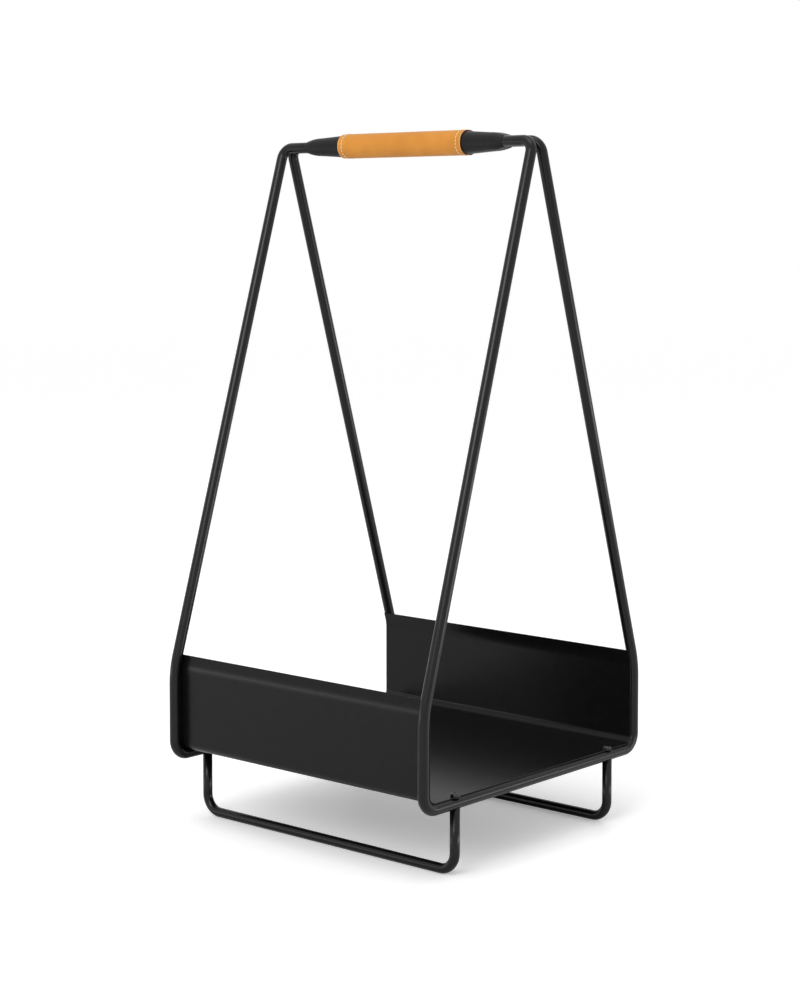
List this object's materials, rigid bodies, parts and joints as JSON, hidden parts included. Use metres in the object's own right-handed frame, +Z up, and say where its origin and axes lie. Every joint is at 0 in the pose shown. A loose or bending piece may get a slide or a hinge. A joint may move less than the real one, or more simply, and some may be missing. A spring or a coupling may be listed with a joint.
{
  "type": "firewood rack",
  "caption": "Free-standing firewood rack: bent-rod end frames, a bent-sheet log tray on rod feet and a leather-wrapped carrying handle on top.",
  "frame": {"origin": "on the ground, under the middle of the rack", "axes": "+X along the handle and the logs, +Y from the front lip to the rear lip, +Z up"},
  "size_m": [0.379, 0.384, 0.7802],
  "materials": {
    "frame_coating": "satin black powder coat on steel rod",
    "tray_coating": "satin black powder coat on steel sheet",
    "core_plastic": "satin black moulded plastic",
    "fasteners": "black oxide steel",
    "grip_leather": "smooth tan leather with dark burnished cut edges",
    "grip_thread": "pale waxed thread"
  },
  "bodies": {
    "root": {"left_end_frame": "frame_coating", "right_end_frame": "frame_coating", "log_tray": "tray_coating", "front_foot": "frame_coating", "rear_foot": "frame_coating", "foot_bolts": "fasteners", "foot_bolt_washers": "fasteners", "handle_core": "core_plastic", "handle_set_screws": "fasteners", "leather_grip": "grip_leather", "left_grip_stitching": "grip_thread", "right_grip_stitching": "grip_thread", "grip_seam_stitching": "grip_thread"}
  },
  "joints": []
}
